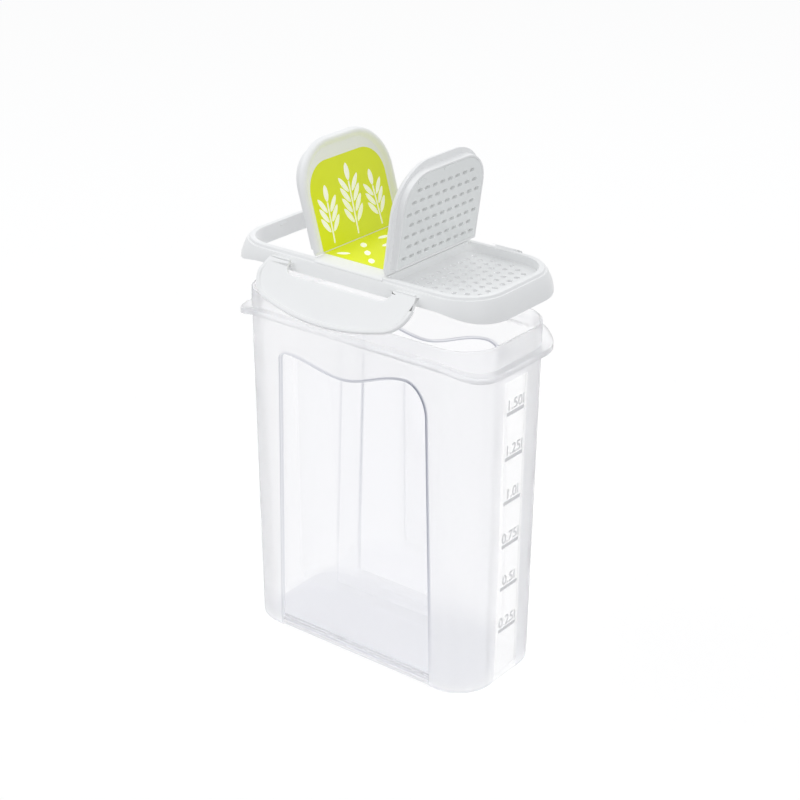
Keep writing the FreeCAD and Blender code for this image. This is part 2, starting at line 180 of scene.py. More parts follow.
# Clear polypropylene, moulded: a faint blue grey body that darkens where the
# light runs along the wall, frosted by the mould outside the polished panels.
# Waves of 17 mm, as a large moulding has, make its gloss uneven, and a grain of
# 0.7 mm blurs what is seen through it. The wall is milkier in a low band at the
# foot. The soft edges of the recess and the foot under it glow pale grey: a painted
# glow for the light seen along the plastic there. The polished strip under the
# litre scale has a painted reflection: a white glow makes it brighter than the wall.
clear_tint = "#CFD2DC"
absorption = 10.5
clear_ior = 1.2
frosted_roughness = 0.34
polished_roughness = 0.05
gloss_spread = 0.15
clear_wave_scale = 60.0
clear_grain_scale = 1400.0
clear_grain_depth = 0.02
frosted_grain = 0.25
polished_grain = 0.05
frosted_open = 0.35
polished_open = 0.6
milk_tint = "#E3E4E8"
polished_milk = 0.02
base_milk = 0.4
foot_band_height = 2.4
# Painted glow: the soft edges and the foot under the recess shine pale grey by themselves.
painted_edge_glow_colour = "#E6E7EC"
painted_foot_glow_share = 0.15
# Painted reflection on the polished strip: a white glow stands in for the mirrored lamps.
painted_strip_reflection = 0.45
painted_strip_reflection_strength = 1.02
scale_strip_half_width = 10.0
scale_strip_top = 174.0
end_wall_start = 70.0


def clear_polypropylene(name, polished, milk_and_glow_here, with_painted_glow=False):
    """The clear wall. With a painted glow, the milky share of an edge is an emission; on the wall it lets
    light through.
    """
    material = new_material(name)
    place = add(material, "ShaderNodeTexCoord").outputs["Object"]
    waves = add(material, "ShaderNodeTexNoise", {"Vector": place, "Scale": clear_wave_scale, "Detail": 2.0})
    grain = add(material, "ShaderNodeTexNoise", {"Vector": place, "Scale": clear_grain_scale, "Detail": 3.0})
    axes = add(material, "ShaderNodeSeparateXYZ", {"Vector": place})
    beside = calculate(material, "ABSOLUTE", axes.outputs["Y"])
    along = calculate(material, "ABSOLUTE", axes.outputs["X"])
    strip = calculate(material, "GREATER_THAN", beside, scale_strip_half_width * mm)
    end = calculate(material, "LESS_THAN", along, end_wall_start * mm)
    above = calculate(material, "GREATER_THAN", axes.outputs["Z"], scale_strip_top * mm)
    beyond = calculate(material, "MAXIMUM", strip, end)
    outside = calculate(material, "MAXIMUM", beyond, above)
    frosted = 0.0 if polished else outside
    rough = add(material, "ShaderNodeMapRange", {"Value": frosted, 3: polished_roughness,
                                                 4: frosted_roughness})
    uneven = add(material, "ShaderNodeMapRange", {"Value": waves.outputs["Fac"], 3: 1 - gloss_spread,
                                                  4: 1 + gloss_spread})
    roughness = calculate(material, "MULTIPLY", rough.outputs[0], uneven.outputs[0])
    bump = add(material, "ShaderNodeBump", {"Height": grain.outputs["Fac"],
                                            "Distance": clear_grain_depth * mm,
                                            "Strength": polished_grain if polished else frosted_grain})
    body = add(material, "ShaderNodeBsdfPrincipled", {
        "Base Color": linear("#FFFFFF"), "Roughness": roughness, "IOR": clear_ior,
        "Transmission Weight": 1.0, "Normal": bump.outputs[0]})
    # Where the edge has a painted glow, its milky share is an emission and not a translucent layer.
    if with_painted_glow:
        milk_and_glow = add(material, "ShaderNodeEmission", {"Color": linear(painted_edge_glow_colour)})
    else:
        milk_and_glow = add(material, "ShaderNodeBsdfTranslucent", {"Color": linear(milk_tint)})
    base = calculate(material, "LESS_THAN", axes.outputs["Z"], foot_band_height * mm)
    base_milk_and_glow = painted_foot_glow_share if with_painted_glow else base_milk
    milk_and_glow_share = add(material, "ShaderNodeMapRange", {"Value": frosted, 3: polished_milk, 4: milk_and_glow_here})
    milk_and_glow_total = calculate(material, "MULTIPLY_ADD", base, base_milk_and_glow, milk_and_glow_share.outputs[0])
    with_milk_and_glow = add(material, "ShaderNodeMixShader", {0: milk_and_glow_total, 1: body.outputs[0], 2: milk_and_glow.outputs[0]})
    clear = add(material, "ShaderNodeBsdfTransparent", {"Color": linear("#FDFDFE")})
    open_share = add(material, "ShaderNodeMapRange", {"Value": frosted, 3: polished_open, 4: frosted_open})
    through = add(material, "ShaderNodeMixShader", {0: open_share.outputs[0], 1: with_milk_and_glow.outputs[0],
                                                    2: clear.outputs[0]})
    # The polished strip gets a white glow: a painted reflection of the lamps.
    if not polished:
        painted_reflection = add(material, "ShaderNodeEmission", {"Color": linear("#FFFFFF"),
                                                     "Strength": painted_strip_reflection_strength})
        painted_reflection_share = add(material, "ShaderNodeMapRange", {"Value": frosted, 3: painted_strip_reflection, 4: 0.0})
        through = add(material, "ShaderNodeMixShader", {0: painted_reflection_share.outputs[0], 1: through.outputs[0],
                                                        2: painted_reflection.outputs[0]})
    shadow = add(material, "ShaderNodeLightPath").outputs["Is Shadow Ray"]
    surface = add(material, "ShaderNodeMixShader", {0: shadow, 1: through.outputs[0], 2: clear.outputs[0]})
    volume = add(material, "ShaderNodeVolumeAbsorption", {"Color": linear(clear_tint), "Density": absorption})
    add(material, "ShaderNodeOutputMaterial", {"Surface": surface.outputs[0], "Volume": volume.outputs[0]})
    return material


frosted_clear = clear_polypropylene("polypropylene clear, frosted moulding", polished=False, milk_and_glow_here=0.06)
polished_clear = clear_polypropylene("polypropylene clear, polished panel", polished=True,
                                     milk_and_glow_here=polished_milk)
# Soft edges of the recess and the foot under it, with a painted glow.
glowing_edge_clear = clear_polypropylene("polypropylene clear, soft edge with painted glow", polished=False, milk_and_glow_here=0.8,
                                 with_painted_glow=True)

collar_reach = 4.1
collar_corner = 20.6
collar_thickness = 3.6
collar_low_top = 183.6
collar_rise = 5.1
wave_inner = 56.0
wave_outer = 79.0
neck_half = (77.64, 36.28)
base_edge_steps = 5
rim_steps = 8
floor_corner_steps = 6


def wave(low):
    """Level that is low at the short ends and rises to the middle of the long sides."""
    def level(x):
        t = min(max((wave_outer - x) / (wave_outer - wave_inner), 0.0), 1.0)
        return low + collar_rise * t * t * (3 - 2 * t)
    return level


def arc(steps, radius, centre_offset, centre_level, start, end):
    """Offset and level pairs round a fillet."""
    pairs = []
    for i in range(steps + 1):
        a = math.radians(start + (end - start) * i / steps)
        pairs.append((centre_offset + radius * math.cos(a), centre_level + radius * math.sin(a)))
    return pairs


collar_outer = (neck_half[0] + collar_reach, neck_half[1] + collar_reach, collar_corner)
window_low, window_high = 4.0, 176.0
inner_window_low = floor_top + floor_corner + 0.2

loops = [wall_loop(foot_depth, -foot_width - 0.6), wall_loop(foot_depth - 0.15, -foot_width - 0.1),
         wall_loop(0.0, -foot_width + 0.4)]
foot_row = len(loops) - 1
base_arc = arc(base_edge_steps, base_edge, -base_edge, base_edge, -90, 0)
for offset, z in base_arc:
    loops.append(wall_loop(z, offset))
base_offsets = [offset for offset, z in base_arc] + [0.0]
outer_row = len(loops)
loops += [wall_loop(window_low), wall_loop(window_high)]
under = collar_low_top - collar_thickness
loops += [wall_loop(wave(under - 0.6)), wall_loop(wave(under - 0.15), 0.15), wall_loop(wave(under), 0.6)]
for inset, rise in ((0.8, 0.0), (0.25, 0.25), (0.0, 0.8)):
    loops.append(wall_loop(wave(under + rise), -inset, collar_outer))
for inset, drop in ((0.0, 0.8), (0.25, 0.25), (0.8, 0.0)):
    loops.append(wall_loop(wave(collar_low_top - drop), -inset, collar_outer))
loops += [wall_loop(wave(collar_low_top), 0.6), wall_loop(wave(collar_low_top + 0.15), 0.15),
          wall_loop(wave(collar_low_top + 0.6))]
for offset, z in arc(rim_steps, wall / 2, -wall / 2, height - wall / 2, 0, 180):
    loops.append(wall_loop(z, offset))
inner_row = len(loops)
loops += [wall_loop(window_high, -wall), wall_loop(inner_window_low, -wall)]
floor_arc = arc(floor_corner_steps, floor_corner, -wall - floor_corner, floor_top + floor_corner, 0, -90)
for offset, z in floor_arc:
    loops.append(wall_loop(z, offset))
floor_offsets = [offset for offset, z in floor_arc]

count = len(loops[0])
per_side = corner_steps + straight_steps
rear_columns = [2 * per_side - straight_steps + i for i in range(straight_steps)]
front_columns = [4 * per_side - straight_steps + i for i in range(straight_steps)]
grip_rows = list(range(foot_row, outer_row + 1)) + list(range(inner_row, len(loops) - 1))
missing = {(row, i) for row in grip_rows for i in rear_columns + front_columns}
shell = skin(loops, caps=(True, True), missing=missing)

# Grip panels: sunk by the same step front and back, with a waved upper edge and
# soft sides, and open at the base. They are polished in the mould, so they look
# clearer than the wall.
recess_depth = 0.9
recess_wide = 51.3
recess_narrow = 47.8
recess_left = 163.2
recess_right = 155.0
left_crest = (-43.5, 166.7)
right_crest = (35.0, 172.4)
valley = (-7.0, 161.7)
outer_edge = 0.35
inner_edge = 1.0
curve_steps = 22
side_curve_steps = 30
left_turn_steps = 12
side_lean = -3.4
crest_turn = 1.6


def hermite(a, b, ta, tb, steps=curve_steps):
    """Points on a curve from a to b with given directions, without its last point."""
    points = []
    for i in range(steps):
        t = i / steps
        weights = (2 * t ** 3 - 3 * t ** 2 + 1, t ** 3 - 2 * t ** 2 + t,
                   -2 * t ** 3 + 3 * t ** 2, t ** 3 - t ** 2)
        points.append(tuple(weights[0] * a[k] + weights[1] * ta[k] + weights[2] * b[k] + weights[3] * tb[k]
                            for k in (0, 1)))
    return points


def recess_outline(low):
    """Line of the recess in x and z, from the right foot at a level over to the left foot."""
    left, right = (-recess_narrow, recess_left), (recess_narrow, recess_right)
    right_foot, left_foot = (recess_wide, low), (-recess_wide, low)
    points = hermite(right_foot, right, (side_lean, right[1]), (side_lean, right[1]), side_curve_steps)
    rise, run = right_crest[1] - right[1], right_crest[0] - right[0]
    points += hermite(right, right_crest, (0, crest_turn * rise), (crest_turn * run, 0))
    run = valley[0] - right_crest[0]
    points += hermite(right_crest, valley, (run, 0), (run, 0))
    run = left_crest[0] - valley[0]
    points += hermite(valley, left_crest, (run, 0), (run, 0))
    rise, run = left[1] - left_crest[1], left[0] - left_crest[0]
    points += hermite(left_crest, left, (crest_turn * run, 0), (0, crest_turn * rise), left_turn_steps)
    points += hermite(left, left_foot, (side_lean, -left[1]), (side_lean, -left[1]), side_curve_steps)
    return points + [left_foot]


def grow(points, amount):
    """The same line, moved to the right of its direction. Its two ends move along x alone."""
    moved = [(points[0][0] + amount, points[0][1])]
    for before, here, after in zip(points, points[1:], points[2:]):
        dx, dy = after[0] - before[0], after[1] - before[1]
        size = math.hypot(dx, dy)
        moved.append((here[0] + amount * dy / size, here[1] - amount * dx / size))
    return moved + [(points[-1][0] - amount, points[-1][1])]


def grip_panel(side, depth, row, columns, low, edge, base_rows, border_row):
    """The flat wall round a recess, its soft step, its panel, and all of it down to the base."""
    def on_wall(x, z, inset):
        half_y = base_section[1] + (rim_section[1] - base_section[1]) * z / height
        return x, side * (half_y - inset), z
    outline = recess_outline(low)
    profile = ((edge, 0.0), (edge * 0.4, 0.05), (edge * 0.1, 0.2), (0.0, 0.45), (-0.1 * edge, 0.75),
               (-0.5 * edge, 0.95), (-edge, 1.0))
    steps = [[on_wall(x, z, depth + recess_depth * share) for x, z in grow(outline, offset)]
             for offset, share in profile]
    ends = columns + [(columns[-1] + 1) % count]
    bottom = min(((loops[row + k][ends[0]], loops[row + k][ends[-1]]) for k in (0, 1)),
                 key=lambda pair: pair[0][2])
    high_row = row if loops[row][0][2] > loops[row + 1][0][2] else row + 1
    high = [loops[high_row][i] for i in ends]
    bottom, high = (sorted(points, key=lambda p: -p[0]) for points in (bottom, high))
    surround = fill([[bottom[0]] + high + [bottom[1]] + list(reversed(steps[0]))])
    feet = [(recess_wide + offset, share) for offset, share in profile]
    feet += [(-x, share) for x, share in reversed(feet)]
    rows = []
    for level, offset, depth_here in base_rows:
        half_x = max(loops[level][ends[0]][0], loops[level][ends[-1]][0])
        z = loops[level][ends[0]][2]
        row_points = [(half_x, 0.0)] + feet + [(-half_x, 0.0)]
        rows.append([on_wall(x, z, -offset + depth_here * share) for x, share in row_points])
    border = sorted((loops[border_row][i] for i in ends), key=lambda p: -p[0])
    strip = fill([border + list(reversed(rows[0] if border_row < base_rows[0][0] else rows[-1]))])
    return surround, skin(steps, open_ends=True), fill([steps[-1]]), skin(rows, open_ends=True), strip


surrounds, panels = [], []
outer_base = [(i, offset, recess_depth) for i, offset in enumerate(base_offsets, foot_row + 1)]
inner_base = [(inner_row + 1, -wall, recess_depth)]
inner_base += [(inner_row + 2 + i, offset, recess_depth * (floor_corner + wall + offset) / floor_corner)
               for i, offset in enumerate(floor_offsets[:-1])]
for side, columns in ((-1, front_columns), (1, rear_columns)):
    outside = grip_panel(side, 0.0, outer_row, columns, window_low, outer_edge, outer_base,
                         foot_row)
    inside = grip_panel(side, wall, inner_row, columns, inner_window_low, inner_edge, inner_base,
                        len(loops) - 1)
    surrounds += outside[:2] + outside[3:] + inside[:2] + inside[3:]
    panels += [outside[2], inside[2]]
panel_tolerance = 0.05
step_tolerance = 0.01
step_side = 0.5
facing = 0.99
level_face = 0.98
foot_sunk_from, foot_sunk_to = -0.1, 3.5
container = build("container_moulding", [shell] + surrounds + panels, frosted_clear)
container.data.materials.append(polished_clear)
container.data.materials.append(glowing_edge_clear)
for face in container.data.polygons:
    x, y, z = face.center / mm
    half_y = base_section[1] + (rim_section[1] - base_section[1]) * z / height
    sunk = half_y - abs(y)
    flat = abs(face.normal.y) > facing and abs(x) < recess_wide
    on_panel = min(abs(sunk - recess_depth), abs(sunk - recess_depth - wall)) < panel_tolerance
    at_foot = z < base_edge and foot_sunk_from < sunk < foot_sunk_to and face.normal.z > -level_face
    if flat and on_panel:
        face.material_index = 1
    # The foot under the recess and the soft steps take the material with the painted glow.
    elif abs(x) < recess_wide and at_foot:
        face.material_index = 2
    elif abs(x) < recess_wide + step_side and z < window_high and abs(face.normal.z) < level_face:
        outer_step = step_tolerance < sunk < recess_depth - step_tolerance
        inner_step = wall + step_tolerance < sunk < wall + recess_depth - step_tolerance
        face.material_index = 2 if outer_step or inner_step else 0
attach(container, "container")
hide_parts("container")

# Litre scale. Grey ink printed on the polished strip of the right end wall: one
# bar for each quarter litre, with its number above. The ink is half matt, and its
# cover varies over 1.1 mm, so the marks look printed and not moulded.
ink = new_material("pad printing ink, grey")
ink_place = add(ink, "ShaderNodeTexCoord").outputs["Object"]
ink_cover = add(ink, "ShaderNodeTexNoise", {"Vector": ink_place, "Scale": 900.0, "Detail": 2.0})
ink_colour = add(ink, "ShaderNodeMix", {"Factor": ink_cover.outputs["Fac"], 6: linear("#D6D6D8"),
                                        7: linear("#DFDFE1")}, data_type="RGBA")
# A faint white emission lifts the ink: a painted glow, so the marks stay light grey in shade.
ink_body = add(ink, "ShaderNodeBsdfPrincipled", {"Base Color": ink_colour.outputs[2], "Roughness": 0.45,
                                                 "IOR": 1.5, "Emission Color": linear("#FFFFFF"),
                                                 "Emission Strength": 0.1})
add(ink, "ShaderNodeOutputMaterial", {"Surface": ink_body.outputs[0]})
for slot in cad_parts["litre_marks"].material_slots:
    slot.material = ink

first_mark = 29.6
mark_spacing = 25.1
mark_thickness = 2.1
number_height = 5.6
number_lift = 0.9
ink_thickness = 0.1
stroke_gain = 0.09
digit_share = 0.7
numbers = ("0.25l", "0.5l", "0.75l", "1.0l", "1.25l", "1.50l")
for i, text in enumerate(numbers):
    curve = bpy.data.curves.new("scale_number_%d" % (i + 1), "FONT")
    curve.body = text
    curve.size = number_height * mm / digit_share
    curve.align_x = "CENTER"
    curve.extrude = ink_thickness / 2 * mm
    curve.offset = stroke_gain * mm
    flat = bpy.data.objects.new("flat_number", curve)
    bpy.context.collection.objects.link(flat)
    bpy.context.view_layer.update()
    mesh = bpy.data.meshes.new_from_object(flat.evaluated_get(bpy.context.evaluated_depsgraph_get()))
    bpy.data.objects.remove(flat)
    level = first_mark + i * mark_spacing + mark_thickness + number_lift
    lean = (rim_section[0] - base_section[0]) / height
    for v in mesh.vertices:
        along, up, out = v.co / mm
        z = level + up
        x = base_section[0] + lean * z + ink_thickness / 2 + out
        v.co = Vector((x, along, z)) * mm
    mesh.materials.clear()
    mesh.materials.append(ink)
    number = bpy.data.objects.new("scale_number_%d" % (i + 1), mesh)
    bpy.context.collection.objects.link(number)
    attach(number, "container")

# Lid frame. One moulding in white polypropylene: a bell shaped skirt that stands
# on the collar, a flat ring, a plug wall inside the container's neck, a hollow
# bridge between the flaps, and four lugs that carry the wings.
lift = 26.6
ring_top = 197.6
ring_under = 196.2
shoulder_level = ring_top - 1.7
skirt_bottom = collar_low_top + 1.0
shoulder_reach = 1.4
skirt_flare = 4.9
skirt_wall = 1.2
plug_offset = -1.8
plug_wall = 1.3
plug_bottom = ring_under - 8.4
bell_steps = 12
skirt_edge = 0.3
skirt_edge_start = 0.98


def raised(shell_of_points):
    vertices, faces = shell_of_points
    return [(x, y, z + lift) for x, y, z in vertices], faces


def ring_loop(level, offset):
    """One loop of the lid ring, outside or inside the neck by an offset."""
    half_x, half_y, r = rim_section
    return [(x, y, level) for x, y in rounded(half_x + offset, half_y + offset, r + offset)]


def bell_loop(fraction, inset):
    """One loop of the skirt, a fraction of the way down to its waved lower edge."""
    loop = []
    bottom = wave(skirt_bottom)
    half_x, half_y, r = rim_section
    for i, (x, _) in enumerate(rounded(*rim_section)):
        z = shoulder_level - fraction * (shoulder_level - bottom(abs(x)))
        t = (shoulder_level - z) / (shoulder_level - skirt_bottom)
        reach = shoulder_reach + (skirt_flare - shoulder_reach) * (1 - (1 - t) ** 2) - inset
        px, py = rounded(half_x + reach, half_y + reach, r + reach)[i]
        loop.append((px, py, z))
    return loop


inner_offset = plug_offset - plug_wall
ring_profile = ((1.38, 195.95), (1.2, 196.12), (0.95, 196.1), (0.65, 195.98), (0.4, 196.1), (0.2, 196.5),
                (0.1, 196.9), (-0.05, 197.25), (-0.3, 197.5), (-0.7, 197.6), (-2.6, 197.6),
                (-2.85, 197.54), (-3.02, 197.38), (-3.1, 197.1))
plug_profile = ((inner_offset, plug_bottom + 0.5), (inner_offset + 0.15, plug_bottom + 0.12),
                (inner_offset + 0.5, plug_bottom), (plug_offset - 0.4, plug_bottom),
                (plug_offset - 0.1, plug_bottom + 0.12), (plug_offset, plug_bottom + 0.5),
                (plug_offset, ring_under - 0.4), (plug_offset + 0.15, ring_under - 0.1),
                (plug_offset + 0.5, ring_under), (-0.2, ring_under))
lid_loops = [bell_loop(1.0, skirt_edge)]
lid_loops += [bell_loop(skirt_edge_start * (1 - i / bell_steps), 0.0) for i in range(bell_steps)]
lid_loops += [ring_loop(z, offset) for offset, z in ring_profile + plug_profile]
lid_loops += [bell_loop(i / bell_steps, skirt_wall) for i in range(bell_steps)]
lid_loops.append(bell_loop(1.0, skirt_wall - skirt_edge))
lid_shells = [skin(lid_loops, ring=True)]

# The bridge is hollow and carries on the curve of the skirt: it swells from the
# shoulder to its flat top without the ring's edge.
bridge_top = 198.9
bridge_profile = ((37.55, 196.3), (37.3, 196.8), (36.8, 197.25), (36.0, 197.65), (34.9, 198.02),
                  (33.6, 198.37), (32.3, 198.68), (31.3, 198.85), (30.6, bridge_top))
hinge_x = 22.0
bridge_end = hinge_x - 0.45
top_wall = 1.4
bridge_side_wall = 3.4
bridge_side_slope = 1.5


def bridge_station(x, drop):
    """Cross section of the hollow bridge at one place along X."""
    inner_y = bridge_profile[0][0] - bridge_side_wall
    over = [(y, z - drop) if z > bridge_top - drop else (y, z) for y, z in bridge_profile]
    section = over + [(-y, z) for y, z in reversed(over)]
    ceiling_y = inner_y - bridge_side_slope
    section += [(-inner_y, over[0][1]), (-ceiling_y, bridge_top - top_wall),
                (ceiling_y, bridge_top - top_wall), (inner_y, over[0][1])]
    return [(x, y, z) for y, z in section]


bridge_ends = ((-bridge_end, 0.4), (-bridge_end + 0.35, 0.08), (-bridge_end + 0.7, 0.0),
               (bridge_end - 0.7, 0.0), (bridge_end - 0.35, 0.08), (bridge_end, 0.4))
stations = [bridge_station(x, drop) for x, drop in bridge_ends]
lid_shells += [skin(stations), fill([stations[0]]), fill([stations[-1]])]


def soft_block(low, high, radius):
    """A block with rounded edges, as vertices and faces."""
    bm = bmesh.new()
    bmesh.ops.create_cube(bm, size=1.0)
    for v in bm.verts:
        v.co = Vector([low[k] + (v.co[k] + 0.5) * (high[k] - low[k]) for k in range(3)])
    bmesh.ops.bevel(bm, geom=bm.edges, offset=radius, segments=3, profile=0.5, affect="EDGES")
    bm.verts.index_update()
    result = [tuple(v.co) for v in bm.verts], [tuple(v.index for v in f.verts) for f in bm.faces]
    bm.free()
    return result


divider_half_y = rim_section[1] + inner_offset + 0.4
divider_near, divider_far = hinge_x - 1.3, hinge_x + 0.1
for side in (-1, 1):
    x0, x1 = sorted((side * divider_near, side * divider_far))
    lid_shells.append(soft_block((x0, -divider_half_y, plug_bottom),
                                 (x1, divider_half_y, ring_top - 0.02), 0.3))
    x0, x1 = sorted((side * divider_near, side * bridge_end))
    lid_shells.append(soft_block((x0, -divider_half_y, ring_top - 1.0),
                                 (x1, divider_half_y, bridge_top - 0.5), 0.2))

# Webs round the corners between the dividers and the plug wall.
web_radius = 4.4
web_steps = 8
plug_inner_y = rim_section[1] + inner_offset
web_back = plug_inner_y + 0.1
for side_x in (-1, 1):
    for side_y in (-1, 1):
        web = [(hinge_x, web_back), (divider_far + web_radius, web_back)]
        for i in range(web_steps + 1):
            a = math.radians(90 + 90 * i / web_steps)
            web.append((divider_far + web_radius + web_radius * math.cos(a),
                        plug_inner_y - web_radius + web_radius * math.sin(a)))
        web = [(side_x * x, side_y * y) for x, y in web]
        low = [(x, y, plug_bottom + 0.2) for x, y in web]
        high = [(x, y, ring_top - 0.9) for x, y in web]
        lid_shells += [skin([low, high]), fill([low]), fill([high])]

wing_axis_y = 41.9
wing_axis_z = 195.6
wing_thickness = 1.6
lug_near, lug_far = 34.0, 45.5
lug_root = 38.6
lug_inner, lug_outer = wing_axis_y - 1.6, wing_axis_y - 0.9
lug_under, lug_shelf, lug_top = wing_axis_z - 4.4, wing_axis_z - 2.0, wing_axis_z + 0.18
for side_x in (-1, 1):
    for side_y in (-1, 1):
        x0, x1 = sorted((side_x * lug_near, side_x * lug_far))
        y0, y1 = sorted((side_y * lug_outer, side_y * lug_root))
        lid_shells.append(soft_block((x0, y0, lug_under), (x1, y1, lug_shelf), 0.3))
        y0, y1 = sorted((side_y * lug_outer, side_y * lug_inner))
        lid_shells.append(soft_block((x0, y0, lug_under), (x1, y1, lug_top), 0.25))


# White polypropylene, moulded: satin, with a fine grain from the spark eroded
# mould. The grain is 0.1 mm and is drawn at 0.5 mm to show. A flow pattern of
# 29 mm shifts the tone and gloss a little, and a faint glow stands for the light
# that the plastic scatters inside.
def white_polypropylene(name, colour, roughness, grain_depth):
    material = new_material(name)
    place = add(material, "ShaderNodeTexCoord").outputs["Object"]
    grain = add(material, "ShaderNodeTexNoise", {"Vector": place, "Scale": 2000.0, "Detail": 2.0})
    flow = add(material, "ShaderNodeTexNoise", {"Vector": place, "Scale": 35.0, "Detail": 3.0,
                                                "Distortion": 0.6})
    tone = add(material, "ShaderNodeMix", {"Factor": flow.outputs["Fac"], 6: linear(colour[0]),
                                           7: linear(colour[1])}, data_type="RGBA")
    gloss = add(material, "ShaderNodeMapRange", {"Value": flow.outputs["Fac"], 3: roughness - 0.05,
                                                 4: roughness + 0.06})
    bump = add(material, "ShaderNodeBump", {"Height": grain.outputs["Fac"], "Strength": 0.2,
                                            "Distance": grain_depth * mm})
    body = add(material, "ShaderNodeBsdfPrincipled", {
        "Base Color": tone.outputs[2], "Roughness": gloss.outputs[0], "IOR": 1.49,
        "Emission Color": linear("#FFFFFF"), "Emission Strength": 0.1, "Normal": bump.outputs[0]})
    add(material, "ShaderNodeOutputMaterial", {"Surface": body.outputs[0]})
    return material


satin_white = white_polypropylene("polypropylene white, satin moulding", ("#E4E5E5", "#EAEBEB"), 0.38, 0.02)
lid_frame = build("lid_frame_moulding", [raised(s) for s in lid_shells], satin_white)
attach(lid_frame, "lid")
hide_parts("lid_frame")

# Sieve plate, snap beads and film hinges: parts of the same white moulding, so
# they keep their exact shape and take its finish.
for name in ("sieve_plate", "flap_catches", "pour_flap_film", "shaker_flap_film",
             "front_wing_films", "rear_wing_films"):
    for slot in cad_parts[name].material_slots:
        slot.material = satin_white

# Flaps. Each is one white moulding: a plate level with the bridge, a raised
# round rim on three sides, and a sealing rim below that enters the plug wall.
# A film joins it to the bridge.
lip_half_x = 78.2
lip_half_y = 35.9
lip_corner = 26.0
seal_outer = (74.25, 32.9, 17.9)
seal_wall = 1.2
seal_bottom = 193.9
flap_under = ring_top + 0.1
near_round = 0.5
side_steps = 8
near_steps = 4
plate_inset = 0.32
straight_parts = 5
rim_overlap = 0.05
pour_angle = 74.0
shaker_angle = 82.0
rim_start = hinge_x + 1.45
rim_section_profile = ((0.35, 197.72), (0.08, 197.92), (0.1, 198.3), (0.17, 198.7), (0.3, 199.1),
                       (0.6, 199.7), (1.0, 200.25), (1.5, 200.62), (2.05, 200.83), (2.6, 200.88),
                       (3.2, 200.76), (3.75, 200.42), (4.2, 199.95), (4.6, 199.45), (4.95, 199.1),
                       (5.4, 198.85), (5.4, 198.2), (0.6, 197.9))


def flap_outline(near, half_x, half_y, corner):
    """Outline of a flap: straight at the fold, round at the tip, anticlockwise."""
    n = near_round
    runs = []
    centres = ((near + n, -half_y + n, n, 180), (half_x - corner, -half_y + corner, corner, 270),
               (half_x - corner, half_y - corner, corner, 0), (near + n, half_y - n, n, 90))
    for x, y, r, start in centres:
        steps = near_steps if r == n else corner_steps
        turns = [math.radians(start + 90 * i / steps) for i in range(steps + 1)]
        runs.append([(x + r * math.cos(a), y + r * math.sin(a)) for a in turns])
    points = []
    for run, following in zip(runs, runs[1:] + runs[:1]):
        points += run
        (x0, y0), (x1, y1) = run[-1], following[0]
        points += [(x0 + (x1 - x0) * i / side_steps, y0 + (y1 - y0) * i / side_steps)
                   for i in range(1, side_steps)]
    return points


def flap_loop(near, section, inset, level):
    half_x, half_y, r = section
    return [(x, y, level) for x, y in flap_outline(near, half_x - inset, half_y - inset, r - inset)]


seal_near = hinge_x + 3.0
lip = (lip_half_x, lip_half_y, lip_corner)
plate_ceiling = bridge_top - top_wall
flap_loops = []
for inset, z in ((seal_wall + 0.6, plate_ceiling), (seal_wall + 0.15, plate_ceiling - 0.05),
                 (seal_wall, plate_ceiling - 0.4), (seal_wall, 194.3),
                 (seal_wall - 0.15, 194.02), (seal_wall - 0.4, seal_bottom), (0.4, seal_bottom),
                 (0.15, 194.02), (0.0, 194.3), (0.0, 197.4), (-0.12, 197.62), (-0.4, flap_under)):
    flap_loops.append(flap_loop(seal_near + inset, seal_outer, inset, z))
flap_near = hinge_x + 0.1
for inset, z in ((0.95, flap_under + 0.04), (0.5, flap_under + 0.08), (plate_inset, flap_under + 0.3),
                 (plate_inset, bridge_top - 0.5), (0.45, bridge_top - 0.15), (0.8, bridge_top)):
    flap_loops.append(flap_loop(flap_near + (inset - plate_inset) / 2, lip, inset, z))
flap_plate = skin(flap_loops, caps=(True, True))

path_steps = (0.0, 0.25, 0.6, 1.1)


def rim_path(inset):
    """Path of the raised rim from the fold's front end round the tip to its rear end."""
    half_x, half_y, r = lip_half_x - inset, lip_half_y - inset, lip_corner - inset
    straight = half_x - r - rim_start
    starts = list(path_steps) + [straight * i / straight_parts for i in range(1, straight_parts)]
    turns = [math.radians(-90 + 90 * i / corner_steps) for i in range(corner_steps + 1)]
    front = [(rim_start + step, -half_y) for step in sorted(starts)]
    front += [(half_x - r + r * math.cos(a), -half_y + r + r * math.sin(a)) for a in turns]
    return front + [(x, -y) for x, y in reversed(front)]


rims = [(rim_path(inset), z) for inset, z in rim_section_profile]
rim_count = len(rims[0][0])
end_heights = (0.35, 0.72, 0.93, 1.0)
rim_stations = []
for i in range(rim_count):
    share = end_heights[min(i, rim_count - 1 - i, len(end_heights) - 1)]
    station = []
    for path, z in rims:
        if z >= bridge_top:
            z = bridge_top - rim_overlap + (z - bridge_top + rim_overlap) * share
        station.append(path[i] + (z,))
    rim_stations.append(station)
flap_shells = [flap_plate, skin(rim_stations), fill([rim_stations[0]]), fill([rim_stations[-1]])]
axis_level = bridge_top - 0.4


def opened(shell_of_points, side, angle):
    """Closed right-hand piece, turned open and set on one side of the bridge."""
    vertices, faces = shell_of_points
    c, s = math.cos(math.radians(angle)), math.sin(math.radians(angle))
    moved = []
    for x, y, z in vertices:
        dx, dz = x - hinge_x, z - axis_level
        moved.append((side * (hinge_x + dx * c - dz * s), y, axis_level + dx * s + dz * c + lift))
    return moved, faces


pour_flap = build("pour_flap_moulding", [opened(s, -1, pour_angle) for s in flap_shells], satin_white)
shaker_flap = build("shaker_flap_moulding", [opened(s, 1, shaker_angle) for s in flap_shells], satin_white)
for flap, name in ((pour_flap, "pour_flap"), (shaker_flap, "shaker_flap")):
    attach(flap, name)
    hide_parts(name)

